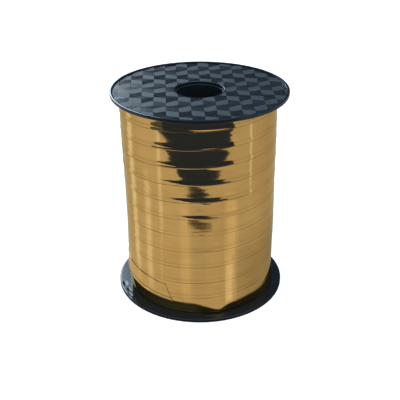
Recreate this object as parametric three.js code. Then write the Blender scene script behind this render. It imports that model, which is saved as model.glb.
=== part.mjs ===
// A reel of metallic curling ribbon, of the kind that balloons are tied with.
//
// A tube with a pressed-on flange at each end makes the reel. The ribbon is taped to the tube
// and wound on in courses, each a helix from one flange to the other, and the last stretch
// lies loose on the outside, ready to be pulled off.
//
// Millimetres, +Z up. The reel stands on its lower flange, with the axis of its bore on Z
// and the origin in the middle of its foot. The front of the reel faces -Y.

import * as THREE from 'three';

// ---- the reel ----
const REEL_HEIGHT = 117;          // from the foot of one rim to the top of the other
const FLANGE_DIAMETER = 95;
const RIM_HEIGHT = 1.8;           // the flange's full thickness, at its rim
const RIM_WIDTH = 1.4;            // flat land that the reel stands on
const RIM_CHAMFER = 0.3;
const FACE_RECESS = 0.7;          // how deep the patterned face lies inside the rim
const TUBE_BORE_DIAMETER = 24.5;
const TUBE_WALL = 2;
const MOUTH_LEDGE = 0.75;         // how much of the tube's end shows in the flange's mouth
const SOCKET_DEPTH = 9;           // of the collar that the tube is pressed into
const SOCKET_WALL = 1.5;
const FIT_GAP = 0.3;              // between any two pieces that touch

// ---- the ribbon ----
const RIBBON_WIDTH = 10;
const TURN_OVERLAP = 0.3;         // how far each turn laps over the last one
const COURSE_THICKNESS = 0.5;
const TAPERED_END = 0.5;          // width of the sliver that a course starts and ends with
const FLANGE_OVERHANG = 6.1;      // from the outside of the winding to the flange's edge
const TURNAROUND_ANGLE = -75;     // degrees round Z, where the last course leaves the foot
const FREE_END_START = -200;      // degrees round Z, where the loose stretch leaves the winding
const FREE_END_LENGTH = 86;       // degrees that it covers
const FREE_END_HEIGHT = 13.8;     // of its lower edge above the foot, where it leaves the winding
const FREE_END_DROP = 5;          // how much lower its tip lies
const FREE_END_THICKNESS = 0.3;
const FREE_END_CLEARANCE = 0.6;   // lets it pass round the winding

// ---- the tape that holds the ribbon's first turn ----
const TAPE_HEIGHT = 15;
const TAPE_LENGTH = 18;
const TAPE_THICKNESS = 0.3;

// ---- fineness of the facets ----
const ROUND_STEPS = 72;           // round every turned piece
const TURN_STEPS = 40;            // along one turn of ribbon

// ---- sizes that follow from those ----
const FLANGE_RADIUS = FLANGE_DIAMETER / 2;
const BORE_RADIUS = TUBE_BORE_DIAMETER / 2;
const TUBE_RADIUS = BORE_RADIUS + TUBE_WALL;
const MOUTH_RADIUS = BORE_RADIUS + MOUTH_LEDGE;
const SOCKET_RADIUS = TUBE_RADIUS + FIT_GAP;
const COLLAR_RADIUS = SOCKET_RADIUS + SOCKET_WALL;
const COLLAR_TOP = RIM_HEIGHT + SOCKET_DEPTH;
const TAPE_RADIUS = TUBE_RADIUS + FIT_GAP;
const CORE_RADIUS = TAPE_RADIUS + TAPE_THICKNESS + FIT_GAP;

const WINDING_RADIUS = FLANGE_RADIUS - FLANGE_OVERHANG;
const OUTER_COURSE_RADIUS = WINDING_RADIUS - COURSE_THICKNESS;
const UNDER_COURSE_RADIUS = OUTER_COURSE_RADIUS - FIT_GAP - COURSE_THICKNESS;
const INNER_WRAPS_RADIUS = UNDER_COURSE_RADIUS - FIT_GAP;
const FREE_END_RADIUS = WINDING_RADIUS + FREE_END_CLEARANCE;

const WINDING_FOOT = RIM_HEIGHT + FIT_GAP;
const WINDING_TOP = REEL_HEIGHT - WINDING_FOOT;
const TURN_RISE = RIBBON_WIDTH - TURN_OVERLAP;
const TURN_SHOWING = TURN_RISE - FIT_GAP;

const blackPlastic = { color: 0x1b1f23, roughness: 0.45, metalness: 0 };
const greyPlastic = { color: 0x23272b, roughness: 0.6, metalness: 0 };
const goldFoil = { color: 0xaa8746, roughness: 0.22, metalness: 1 };
const innerGold = { color: 0x8c6d36, roughness: 0.4, metalness: 1 };
const clearTape = { color: 0xcfc7a8, roughness: 0.35, metalness: 0 };

function named(name, geometry, finish) {
  const mesh = new THREE.Mesh(geometry, new THREE.MeshStandardMaterial(finish));
  mesh.name = name;
  return mesh;
}

// Turns a closed outline of [radius, height] points round the Z axis.
// The outline runs anticlockwise, so that the faces point outwards.
function turned(outline) {
  const points = [...outline, outline[0]].map(([radius, height]) => new THREE.Vector2(radius, height));
  return new THREE.LatheGeometry(points, ROUND_STEPS).rotateX(Math.PI / 2);
}

// A flat strip bent round the Z axis, climbing by risePerTurn in each full turn.
// innerRadius is the side that faces the axis and foot the height of its lower edge at the start.
// Where the strip would run past a flange, it is trimmed to the winding's end.
function wrapped({ innerRadius, thickness, width, foot, startAngle, steps, risePerTurn }) {
  const strip = new THREE.BoxGeometry(thickness, steps, width, 1, steps, 1);
  const stepAngle = (2 * Math.PI) / TURN_STEPS;
  const corner = strip.attributes.position;
  for (let i = 0; i < corner.count; i += 1) {
    const alongSteps = corner.getY(i) + steps / 2;
    const angle = THREE.MathUtils.degToRad(startAngle) + alongSteps * stepAngle;
    const radius = innerRadius + thickness / 2 + corner.getX(i);
    const height = foot + width / 2 + corner.getZ(i) + (risePerTurn * alongSteps) / TURN_STEPS;
    const trimmed = THREE.MathUtils.clamp(height, WINDING_FOOT, WINDING_TOP);
    corner.setXYZ(i, radius * Math.cos(angle), radius * Math.sin(angle), trimmed);
  }
  return strip;
}

// ---- the reel's own pieces ----

// A flange with its rim down: patterned face below, winding face and collar above.
function flangeGeometry() {
  return turned([
    [FLANGE_RADIUS - RIM_CHAMFER, 0],
    [FLANGE_RADIUS, RIM_CHAMFER],
    [FLANGE_RADIUS, RIM_HEIGHT - RIM_CHAMFER],
    [FLANGE_RADIUS - RIM_CHAMFER, RIM_HEIGHT],
    [COLLAR_RADIUS, RIM_HEIGHT],
    [COLLAR_RADIUS, COLLAR_TOP],
    [SOCKET_RADIUS, COLLAR_TOP],
    [SOCKET_RADIUS, RIM_HEIGHT],
    [MOUTH_RADIUS, RIM_HEIGHT],
    [MOUTH_RADIUS, FACE_RECESS],
    [FLANGE_RADIUS - RIM_WIDTH, FACE_RECESS],
    [FLANGE_RADIUS - RIM_WIDTH, 0],
  ]);
}

function lowerFlange() {
  return named('lower_flange', flangeGeometry(), blackPlastic);
}

function upperFlange() {
  const flange = named('upper_flange', flangeGeometry(), blackPlastic);
  flange.rotation.x = Math.PI;
  flange.position.z = REEL_HEIGHT;
  return flange;
}

// The tube runs from the lip of one flange's socket to the lip of the other's.
function coreTube() {
  const tube = turned([
    [BORE_RADIUS, WINDING_FOOT],
    [TUBE_RADIUS, WINDING_FOOT],
    [TUBE_RADIUS, WINDING_TOP],
    [BORE_RADIUS, WINDING_TOP],
  ]);
  return named('core_tube', tube, greyPlastic);
}

// ---- the ribbon ----

function startTape() {
  const stepLength = (2 * Math.PI * TAPE_RADIUS) / TURN_STEPS;
  const tape = wrapped({
    innerRadius: TAPE_RADIUS,
    thickness: TAPE_THICKNESS,
    width: TAPE_HEIGHT,
    foot: (REEL_HEIGHT - TAPE_HEIGHT) / 2,
    startAngle: TURNAROUND_ANGLE,
    steps: Math.max(1, Math.round(TAPE_LENGTH / stepLength)),
    risePerTurn: 0,
  });
  return named('start_tape', tape, clearTape);
}

// Everything below the last two courses. Its bore steps out to clear the flanges' collars.
function innerWraps() {
  const clearOfCollar = COLLAR_RADIUS + FIT_GAP;
  const collarStep = COLLAR_TOP + FIT_GAP;
  const wraps = turned([
    [clearOfCollar, WINDING_FOOT],
    [INNER_WRAPS_RADIUS, WINDING_FOOT],
    [INNER_WRAPS_RADIUS, WINDING_TOP],
    [clearOfCollar, WINDING_TOP],
    [clearOfCollar, REEL_HEIGHT - collarStep],
    [CORE_RADIUS, REEL_HEIGHT - collarStep],
    [CORE_RADIUS, collarStep],
    [clearOfCollar, collarStep],
  ]);
  return named('ribbon_inner_wraps', wraps, innerGold);
}

// One course from flange to flange. direction is 1 where it climbs anticlockwise, seen from
// above, and -1 where it drops. Both courses meet the foot at the turnaround, and their first
// and last turns taper against the flanges.
function course(name, innerRadius, direction) {
  const lowestFoot = WINDING_FOOT - TURN_SHOWING + TAPERED_END;
  const highestFoot = WINDING_TOP - TAPERED_END;
  const steps = Math.floor(((highestFoot - lowestFoot) / TURN_RISE) * TURN_STEPS);
  const climbed = (steps * TURN_RISE) / TURN_STEPS;
  const turnedAngle = (steps * 360) / TURN_STEPS;
  const strip = wrapped({
    innerRadius,
    thickness: COURSE_THICKNESS,
    width: TURN_SHOWING,
    foot: direction > 0 ? lowestFoot : lowestFoot + climbed,
    startAngle: direction > 0 ? TURNAROUND_ANGLE : TURNAROUND_ANGLE - turnedAngle,
    steps,
    risePerTurn: direction * TURN_RISE,
  });
  return named(name, strip, goldFoil);
}

// The loose stretch is held only by lying on the turns below it, so it can be drawn round them.
function freeEnd() {
  const strip = wrapped({
    innerRadius: FREE_END_RADIUS,
    thickness: FREE_END_THICKNESS,
    width: TURN_SHOWING,
    foot: FREE_END_HEIGHT,
    startAngle: FREE_END_START,
    steps: Math.round((FREE_END_LENGTH * TURN_STEPS) / 360),
    risePerTurn: (-FREE_END_DROP * 360) / FREE_END_LENGTH,
  });
  return named('ribbon_free_end', strip, goldFoil);
}

const reel = new THREE.Group();
reel.add(lowerFlange(), upperFlange(), coreTube());

const ribbon = new THREE.Group();
ribbon.add(
  startTape(),
  innerWraps(),
  course('ribbon_under_course', UNDER_COURSE_RADIUS, -1),
  course('ribbon_outer_course', OUTER_COURSE_RADIUS, 1),
  freeEnd(),
);

const part = new THREE.Group();
part.add(reel, ribbon);

export default part;
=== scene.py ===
# %% [markdown]
# # A reel of gold curling ribbon
#
# Balloons are tied with this ribbon: a narrow plastic film with a gold metal coat, wound on a
# black moulded reel. The CAD frame gives the reel's tube, its two flanges and plain solids for
# the ribbon. This lesson makes the pieces that show, in metres and in the CAD's own frame:
# flanges with an embossed face, and ribbon whose turns lap, lean and wrinkle as real film does.

# %% Load the CAD frame
import math

import bmesh
import bpy
from mathutils import Matrix, Vector


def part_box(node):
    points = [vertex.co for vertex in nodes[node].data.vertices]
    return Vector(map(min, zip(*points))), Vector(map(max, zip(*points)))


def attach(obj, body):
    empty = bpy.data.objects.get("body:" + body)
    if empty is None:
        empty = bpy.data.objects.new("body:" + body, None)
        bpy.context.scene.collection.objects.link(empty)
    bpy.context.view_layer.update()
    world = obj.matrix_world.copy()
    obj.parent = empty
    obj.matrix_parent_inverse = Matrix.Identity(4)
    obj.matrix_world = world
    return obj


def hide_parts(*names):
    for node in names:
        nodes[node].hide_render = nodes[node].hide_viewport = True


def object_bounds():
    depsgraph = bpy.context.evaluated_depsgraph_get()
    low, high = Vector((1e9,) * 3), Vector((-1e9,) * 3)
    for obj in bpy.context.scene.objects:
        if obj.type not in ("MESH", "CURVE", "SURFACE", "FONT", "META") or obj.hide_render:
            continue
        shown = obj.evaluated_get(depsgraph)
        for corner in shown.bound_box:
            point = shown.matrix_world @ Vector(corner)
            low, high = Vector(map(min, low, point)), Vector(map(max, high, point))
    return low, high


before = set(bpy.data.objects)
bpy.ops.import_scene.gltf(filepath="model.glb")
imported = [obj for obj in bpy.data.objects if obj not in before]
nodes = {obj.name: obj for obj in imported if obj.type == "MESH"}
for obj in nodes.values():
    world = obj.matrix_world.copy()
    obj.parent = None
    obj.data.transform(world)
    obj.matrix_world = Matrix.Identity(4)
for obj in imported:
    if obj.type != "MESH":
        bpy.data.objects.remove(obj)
cad_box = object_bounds()
print("CAD nodes:", ", ".join(sorted(nodes)))

# %% [markdown]
# ## Sizes
#
# Every size comes from the CAD nodes or is a named value in millimetres. Reading radii from the
# nodes means that the looks follow the CAD if somebody makes the reel wider or taller.

# %% Sizes read from the frame
MM = 0.001


def radii(node):
    """The smallest and largest distance of a node's corners from the axis."""
    reach = [math.hypot(v.co.x, v.co.y) for v in nodes[node].data.vertices]
    return min(reach), max(reach)


REEL_HEIGHT = cad_box[1][2]
tube_low, tube_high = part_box("core_tube")
course_low, course_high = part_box("ribbon_outer_course")
end_low, end_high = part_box("ribbon_free_end")

FLANGE_RADIUS = radii("lower_flange")[1]
MOUTH_RADIUS = radii("lower_flange")[0]
COLLAR_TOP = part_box("lower_flange")[1].z
BORE_RADIUS, TUBE_RADIUS = radii("core_tube")
WINDING_RADIUS = radii("ribbon_outer_course")[1]
UNDER_RADIUS = radii("ribbon_under_course")[1]
print(f"flange {2000 * FLANGE_RADIUS:.1f} mm, winding {2000 * WINDING_RADIUS:.1f} mm across")

# %% [markdown]
# ## Angles
#
# The front of the reel faces -Y, towards the camera. It is easier to think in degrees to the
# right of the front than in degrees anticlockwise from +X, so one helper turns the first into
# the second.

# %% Angle helper
FRONT = -90.0


def from_front(degrees):
    """Radians anticlockwise from +X, for a place given in degrees to the right of the front."""
    return math.radians(FRONT + degrees)


# %% [markdown]
# ## Writing node trees by code
#
# A Geometry Nodes tree or a material is only a list of nodes and links. These helpers keep the
# lists short: `plug` links a socket or sets a number, and `calc` adds one Math node. A sum such
# as a * b + c then reads as `calc(tree, "MULTIPLY_ADD", a, b, c)`.

# %% Node helpers
def plug(tree, source, socket):
    """Links a socket to another, or sets it to a plain value."""
    if isinstance(source, bpy.types.NodeSocket):
        tree.links.new(source, socket)
    elif source is not None:
        socket.default_value = source


def add(tree, kind, *sources, **settings):
    """Adds a node, sets its properties and plugs sources into its inputs in order."""
    node = tree.nodes.new(kind)
    for name, setting in settings.items():
        setattr(node, name, setting)
    for source, socket in zip(sources, node.inputs):
        plug(tree, source, socket)
    return node


def calc(tree, operation, *sources):
    """One Math node, by its result."""
    return add(tree, "ShaderNodeMath", *sources, operation=operation).outputs[0]


def ramp(tree, source, start, end, to_start=0.0, to_end=1.0, smooth=True):
    """A Map Range node: source from start..end becomes to_start..to_end, clamped."""
    kind = "SMOOTHSTEP" if smooth else "LINEAR"
    sources = (source, start, end, to_start, to_end)
    return add(tree, "ShaderNodeMapRange", *sources, interpolation_type=kind).outputs[0]


def noise(tree, vector, scale, seed, detail=2.0, roughness=0.5):
    """Smooth noise from about -1 to 1, 0 on average. The seed moves through a fourth dimension."""
    node = add(tree, "ShaderNodeTexNoise", noise_dimensions="4D")
    plug(tree, vector, node.inputs["Vector"])
    plug(tree, seed, node.inputs["W"])
    plug(tree, scale, node.inputs["Scale"])
    plug(tree, detail, node.inputs["Detail"])
    plug(tree, roughness, node.inputs["Roughness"])
    return calc(tree, "MULTIPLY_ADD", node.outputs[0], 2.0, -1.0)


def new_tree(name, inputs):
    """An empty Geometry Nodes tree with named inputs, its input node and its output node."""
    tree = bpy.data.node_groups.new(name, "GeometryNodeTree")
    for label, kind in inputs:
        tree.interface.new_socket(label, in_out="INPUT", socket_type="NodeSocket" + kind)
    tree.interface.new_socket("Geometry", in_out="OUTPUT", socket_type="NodeSocketGeometry")
    return tree, add(tree, "NodeGroupInput").outputs, add(tree, "NodeGroupOutput")


def grown(name, tree, values):
    """The plain mesh object that a tree makes from its named values."""
    seed_mesh = bpy.data.meshes.new(name + "_tree")
    holder = bpy.data.objects.new(name + "_tree", seed_mesh)
    bpy.context.scene.collection.objects.link(holder)
    modifier = holder.modifiers.new("tree", "NODES")
    modifier.node_group = tree
    for item in tree.interface.items_tree:
        if item.in_out == "INPUT" and item.name in values:
            modifier[item.identifier] = values[item.name]
    settled = holder.evaluated_get(bpy.context.evaluated_depsgraph_get())
    mesh = bpy.data.meshes.new_from_object(settled)
    holder.modifiers.clear()
    bpy.data.objects.remove(holder)
    return placed(name, mesh)


def placed(name, mesh):
    """Puts a mesh into the scene as an object at the origin."""
    mesh.name = name
    piece = bpy.data.objects.new(name, mesh)
    bpy.context.scene.collection.objects.link(piece)
    return piece


def settle(piece):
    """Applies a piece's modifiers, and makes its sharp edges sharp and the rest smooth."""
    settled = piece.evaluated_get(bpy.context.evaluated_depsgraph_get())
    mesh = bpy.data.meshes.new_from_object(settled)
    piece.modifiers.clear()
    piece.data = mesh
    mesh.name = piece.name
    mesh.shade_smooth()
    mesh.set_sharp_from_angle(angle=math.radians(38))
    return piece


# %% [markdown]
# ## The gold film
#
# The ribbon is plastic film with a metal coat and a clear lacquer over it. A Principled shader
# with full metal gives the mirror, and its coat gives the lacquer. Film isn't a perfect mirror:
# the slitting knives and the pull of the winding leave fine lines along it. They scatter light
# across the ribbon and not along it, so lamps draw upright streaks. The Anisotropic setting could
# do that too, but it needs a direction at each point. Two bumps make the lines instead, from
# noise that is squeezed hard along Z, because every turn runs nearly level.

# %% Gold foil material
def new_material(name):
    """An empty node material with a Principled shader plugged into its output."""
    material = bpy.data.materials.new(name)
    material.use_nodes = True
    tree = material.node_tree
    tree.nodes.clear()
    shader = add(tree, "ShaderNodeBsdfPrincipled")
    output = add(tree, "ShaderNodeOutputMaterial")
    tree.links.new(shader.outputs[0], output.inputs["Surface"])
    return material, tree, shader.inputs


def stretched(tree, across, up):
    """Object coordinates scaled by across in X and Y and by up in Z."""
    place = add(tree, "ShaderNodeTexCoord").outputs["Object"]
    mapping = add(tree, "ShaderNodeMapping", vector_type="POINT")
    plug(tree, place, mapping.inputs["Vector"])
    mapping.inputs["Scale"].default_value = (across, across, up)
    return mapping.outputs[0]


def bump(tree, height, strength, distance, normal=None):
    """A Bump node, by its normal."""
    node = add(tree, "ShaderNodeBump")
    plug(tree, height, node.inputs["Height"])
    plug(tree, strength, node.inputs["Strength"])
    plug(tree, distance, node.inputs["Distance"])
    plug(tree, normal, node.inputs["Normal"])
    return node.outputs[0]


GOLD = (0.74, 0.455, 0.145, 1.0)
GOLD_DEEP = (0.68, 0.40, 0.12, 1.0)
# painted shade along the lap lines, partly the bare plastic of the film's slit edge
BARE_EDGE_AND_SHADE = (0.13, 0.07, 0.02, 1.0)
EDGE_TINT = (1.0, 0.92, 0.66, 1.0)
FOIL_ROUGHNESS = (0.05, 0.085)
LACQUER = 0.10

# how fine each noise is: across the reel, then up it
PATCH_SCALE = (60, 180)
WAVELET_SCALE = (70, 420)
SLIT_LINE_SCALE = (40, 2600)
BUMP_STRENGTH = 0.04


def gold_foil(name, base, deep):
    """Metallised film: base is its usual colour and deep the colour of its duller patches."""
    material, tree, shader = new_material(name)
    patches = noise(tree, stretched(tree, *PATCH_SCALE), 1.0, 3.0)
    colour = add(tree, "ShaderNodeMix", data_type="RGBA")
    plug(tree, ramp(tree, patches, -0.5, 0.5), colour.inputs["Factor"])
    plug(tree, base, colour.inputs["A"])
    plug(tree, deep, colour.inputs["B"])
    # painted shade: the film darkens along each turn's lower edge and its step, by the stored attribute
    shaded = add(tree, "ShaderNodeMix", data_type="RGBA")
    edge_shade = add(tree, "ShaderNodeAttribute", attribute_name="edge_wear").outputs["Fac"]
    plug(tree, edge_shade, shaded.inputs["Factor"])
    plug(tree, colour.outputs["Result"], shaded.inputs["A"])
    plug(tree, BARE_EDGE_AND_SHADE, shaded.inputs["B"])
    plug(tree, shaded.outputs["Result"], shader["Base Color"])
    shader["Metallic"].default_value = 1.0
    plug(tree, ramp(tree, patches, -0.6, 0.6, *FOIL_ROUGHNESS), shader["Roughness"])
    shader["Specular Tint"].default_value = EDGE_TINT
    shader["Coat Weight"].default_value = LACQUER
    shader["Coat Roughness"].default_value = 0.10
    slit_lines = noise(tree, stretched(tree, *SLIT_LINE_SCALE), 1.0, 5.0, detail=3.0)
    wavelets = noise(tree, stretched(tree, *WAVELET_SCALE), 1.0, 9.0)
    soft = bump(tree, wavelets, BUMP_STRENGTH, 0.12 * MM)
    plug(tree, bump(tree, slit_lines, BUMP_STRENGTH, 0.05 * MM, soft), shader["Normal"])
    return material


foil = gold_foil("gold_foil", GOLD, GOLD_DEEP)
print("foil ready:", foil.name)

# %% [markdown]
# ## Winding a course of ribbon
#
# The ribbon is laid on in courses. A course is one helix from flange to flange, and each turn
# laps a little over the last. The rule is simple, so the whole course is a Geometry Nodes tree:
# a flat grid, long one way for the helix and narrow the other way for the ribbon's width, has
# each point set to a place on the reel. The grid is trimmed where it would run past a flange.
#
# What makes it look like film is how far each point stands out from the perfect cylinder:
# the lower edge rides on the turn below, the film leans and wrinkles, the edges of the course
# underneath press through, and the first turns lean in towards the lower flange.

# %% Inputs and sizes of the winding
WIND_INPUTS = (
    ("Radius", "Float"),
    ("Start Angle", "Float"),
    ("Turns", "Float"),
    ("Rise per Turn", "Float"),
    ("Ribbon Width", "Float"),
    ("Foot", "Float"),
    ("Lowest", "Float"),
    ("Highest", "Float"),
    ("Lap Lift", "Float"),
    ("Wrinkles", "Float"),
    ("Seed", "Float"),
    ("Steps", "Int"),
    ("Steps Across", "Int"),
    ("Material", "Material"),
)

FULL_TURN = 2 * math.pi

# above 1, the rows of the grid crowd towards the ribbon's lower edge
EDGE_FIRST = 1.8

# how fine each noise is round the pack, and how much finer it is up it
WAVE_SCALE = 1.6
LEAN_SCALE = 5.0
CREASE_SCALE = 14.0
EDGE_SHADE_SCALE = 2.2
FINER_UP = 120
EDGE_SHADE_SEED = 21.0

# where the film rides on the turn below, steps down beside it and curls in at its edge
LAP_LENGTH = 1.7 * MM
STEP_PLACE = 2.2 * MM
STEP_WIDTH = 0.5 * MM
STEP_HEIGHT = 0.07 * MM
CURL_LENGTH = 0.45 * MM
CURL_DEPTH = 0.07 * MM

# the edge of a turn underneath, as shares of a turn before and after it
RIDGE_BEFORE = 0.95
RIDGE_AFTER = 0.16
RIDGE_HEIGHT = 0.08 * MM

# how wavy and loose it lies, by height
LEAN = 1.5
QUIET_BAND = (24 * MM, 36 * MM)
QUIET = 0.12
HALF_LOOSE = 0.5
LOOSE_BAND = (58 * MM, 74 * MM)
BULGE = 0.38 * MM
BULGE_BAND = (62 * MM, 92 * MM)
PACK_SKEW = 0.0137
SKEW_LEVEL = 55 * MM
SKEW_BAND = (24 * MM, 48 * MM)

# the crumpled spot under the upper flange
CRUMPLE_ZONE = 7.0 * MM
CRUMPLE_ANGLE = from_front(-47) + FULL_TURN
CRUMPLE_SPREAD = (0.05, 0.2)
CRUMPLE_DEPTH = 0.9 * MM

# painted shade along the edge and the step; at the edge it is partly the bare plastic of the slit film
EDGE_SHADE_WIDTH = 0.6 * MM
STEP_SHADE = 0.35

# %% [markdown]
# ## The foot of the winding
#
# The first turns were not pressed against the flange all the way round, so the foot of the
# winding leans in, except at one crease, where the last course but one turned round and rose.
# A formula for this would be long. A Float Curve node holds a few angles and depths instead,
# and reads any angle in between off straight lines.

# %% Foot of the winding
FOOT_ZONE = 7.5 * MM
FOOT_SWEEP = 1.2
CREASE = 14.7

# how far the foot is tucked in (above 0) or pushed out, in mm, by degrees to the right of the
# front
FOOT_TUCK = (
    (-90, 0.90),
    (-60, 0.75),
    (-25, 0.85),
    (-5, 0.80),
    (CREASE, -0.75),
    (23, 0.12),
    (40, 0.18),
    (60, -0.45),
    (90, -0.95),
    (130, -0.30),
    (180, 0.30),
)


def round_ends(points):
    """The values at 0 and 1 of points that go round a circle, from their neighbours."""
    wrapped = [(points[-1][0] - 1, points[-1][1])] + points + [(points[0][0] + 1, points[0][1])]
    ends = []
    for edge in (0.0, 1.0):
        left = max(p for p in wrapped if p[0] <= edge)
        right = min(p for p in wrapped if p[0] >= edge)
        share = (edge - left[0]) / max(right[0] - left[0], 1e-6)
        ends.append((edge, left[1] + share * (right[1] - left[1])))
    return ends


def foot_tuck(tree, angle):
    """The tuck at an angle in radians from +X, in mm, read off a Float Curve."""
    turned = calc(tree, "FRACT", calc(tree, "DIVIDE", angle, FULL_TURN))
    curve = add(tree, "ShaderNodeFloatCurve")
    plug(tree, turned, curve.inputs["Value"])
    points = sorted((((FRONT + degrees) / 360) % 1.0, tuck) for degrees, tuck in FOOT_TUCK)
    line = curve.mapping.curves[0]
    for spot, (place, tuck) in zip(line.points, round_ends(points)):
        spot.location = (place, 0.5 + tuck / 2)
    for place, tuck in points:
        line.points.new(place, 0.5 + tuck / 2)
    for spot in line.points:
        spot.handle_type = "VECTOR"
    curve.mapping.update()
    return calc(tree, "MULTIPLY_ADD", curve.outputs[0], 2.0, -1.0)


print("foot of the winding:", len(FOOT_TUCK), "places round it")

# %% [markdown]
# ## How far the film stands out
#
# Each helper takes how far the film stands out so far and adds one thing that real film does.
# They could be one long sum, but a helper with a name is easier to change or to leave out.

# %% Helpers that shape the film
def lapped(tree, standing, from_edge, lift):
    """The lower edge rides on the turn below, steps down beside it and curls in."""
    standing = calc(tree, "ADD", standing, ramp(tree, from_edge, 0.0, LAP_LENGTH, lift, 0.0))
    step_start = STEP_PLACE - STEP_WIDTH / 2
    step = ramp(tree, from_edge, step_start, step_start + STEP_WIDTH, STEP_HEIGHT, 0.0)
    standing = calc(tree, "ADD", standing, step)
    near_edge = ramp(tree, from_edge, 0.0, CURL_LENGTH, 1.0, 0.0, smooth=False)
    return calc(tree, "MULTIPLY_ADD", calc(tree, "POWER", near_edge, 2.0), -CURL_DEPTH, standing)


def over_ridges(tree, standing, height, angle, rise):
    """The edges of the course underneath, which climbs the other way, press through."""
    climbed = calc(tree, "DIVIDE", height, rise)
    phase = calc(tree, "FRACT", calc(tree, "ADD", climbed, calc(tree, "DIVIDE", angle, FULL_TURN)))
    after_edge = ramp(tree, phase, 0.0, RIDGE_AFTER, 1.0, 0.0)
    before_edge = ramp(tree, phase, RIDGE_BEFORE, 1.0, 0.0, 1.0)
    ridge = calc(tree, "ADD", after_edge, before_edge)
    return calc(tree, "MULTIPLY_ADD", ridge, RIDGE_HEIGHT, standing)


def looser_higher_up(tree, standing, height):
    """The film lies flat in the lower half and looser in the upper half."""
    held_flat = ramp(tree, height, *QUIET_BAND, QUIET, HALF_LOOSE)
    loosening = ramp(tree, height, *LOOSE_BAND, 0.0, HALF_LOOSE)
    return calc(tree, "MULTIPLY", standing, calc(tree, "ADD", held_flat, loosening))


def tucked_foot(tree, standing, height, angle, lowest):
    """The first turns lean in towards the lower flange."""
    above_foot = calc(tree, "SUBTRACT", height, lowest)
    near_foot = ramp(tree, above_foot, 0.0, FOOT_ZONE, 1.0, 0.0, smooth=False)
    sweep = calc(tree, "POWER", near_foot, FOOT_SWEEP)
    tuck = calc(tree, "MULTIPLY", foot_tuck(tree, angle), sweep)
    return calc(tree, "MULTIPLY_ADD", tuck, -MM, standing)


def crumpled(tree, standing, height, angle, highest, creases):
    """One spot under the upper flange where the film is crumpled."""
    near_top = ramp(tree, calc(tree, "SUBTRACT", highest, height), 0.0, CRUMPLE_ZONE, 1.0, 0.0)
    away = calc(tree, "SUBTRACT", angle, CRUMPLE_ANGLE)
    sideways = calc(tree, "ABSOLUTE", calc(tree, "SINE", away))
    here = calc(tree, "MULTIPLY", near_top, ramp(tree, sideways, *CRUMPLE_SPREAD, 1.0, 0.0))
    this_side = calc(tree, "GREATER_THAN", calc(tree, "COSINE", away), 0.0)
    here = calc(tree, "MULTIPLY", here, this_side)
    return calc(tree, "MULTIPLY_ADD", calc(tree, "MULTIPLY", creases, here), CRUMPLE_DEPTH, standing)


def shaded_edges(tree, from_edge, place):
    """Painted shade from 0 to 1 along the film's edge and its step, on and off; at the edge partly bare
    film.
    """
    at_edge = ramp(tree, from_edge, 0.0, EDGE_SHADE_WIDTH, 1.0, 0.0)
    off_step = calc(tree, "ABSOLUTE", calc(tree, "SUBTRACT", from_edge, STEP_PLACE))
    shaded = calc(tree, "MAXIMUM", at_edge, ramp(tree, off_step, 0.0, EDGE_SHADE_WIDTH, STEP_SHADE, 0.0))
    come_and_go = ramp(tree, noise(tree, place, EDGE_SHADE_SCALE, EDGE_SHADE_SEED), -0.35, 0.25, 0.35, 1.0)
    return calc(tree, "MULTIPLY", shaded, come_and_go)


# %% [markdown]
# ## The winding tree
#
# The grid's X goes along the ribbon and its Y across it. A Screw modifier could make a plain
# helix, but not trim it at the flanges or let each point stand out by its own rule. The painted
# edge shade, a dark line along each turn's edge and step that is partly bare film at the edge, is
# stored before the grid is bent, because its values come from the flat grid. After Set
# Position, the same nodes would read the places of the bent film.

# %% Tree that winds a course
def wavy(tree, given, turned, across, place):
    """Long waves round the pack, and a lean that changes from turn to turn."""
    long_waves = noise(tree, place, WAVE_SCALE, given["Seed"])
    turn_place = add(tree, "ShaderNodeCombineXYZ", turned, 0.0, 0.0).outputs[0]
    turn_lean = noise(tree, turn_place, LEAN_SCALE, given["Seed"])
    lean = calc(tree, "MULTIPLY", turn_lean, calc(tree, "SUBTRACT", across, 0.5))
    wrinkles = calc(tree, "ADD", long_waves, calc(tree, "MULTIPLY", lean, LEAN))
    return calc(tree, "MULTIPLY", wrinkles, given["Wrinkles"])


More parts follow.
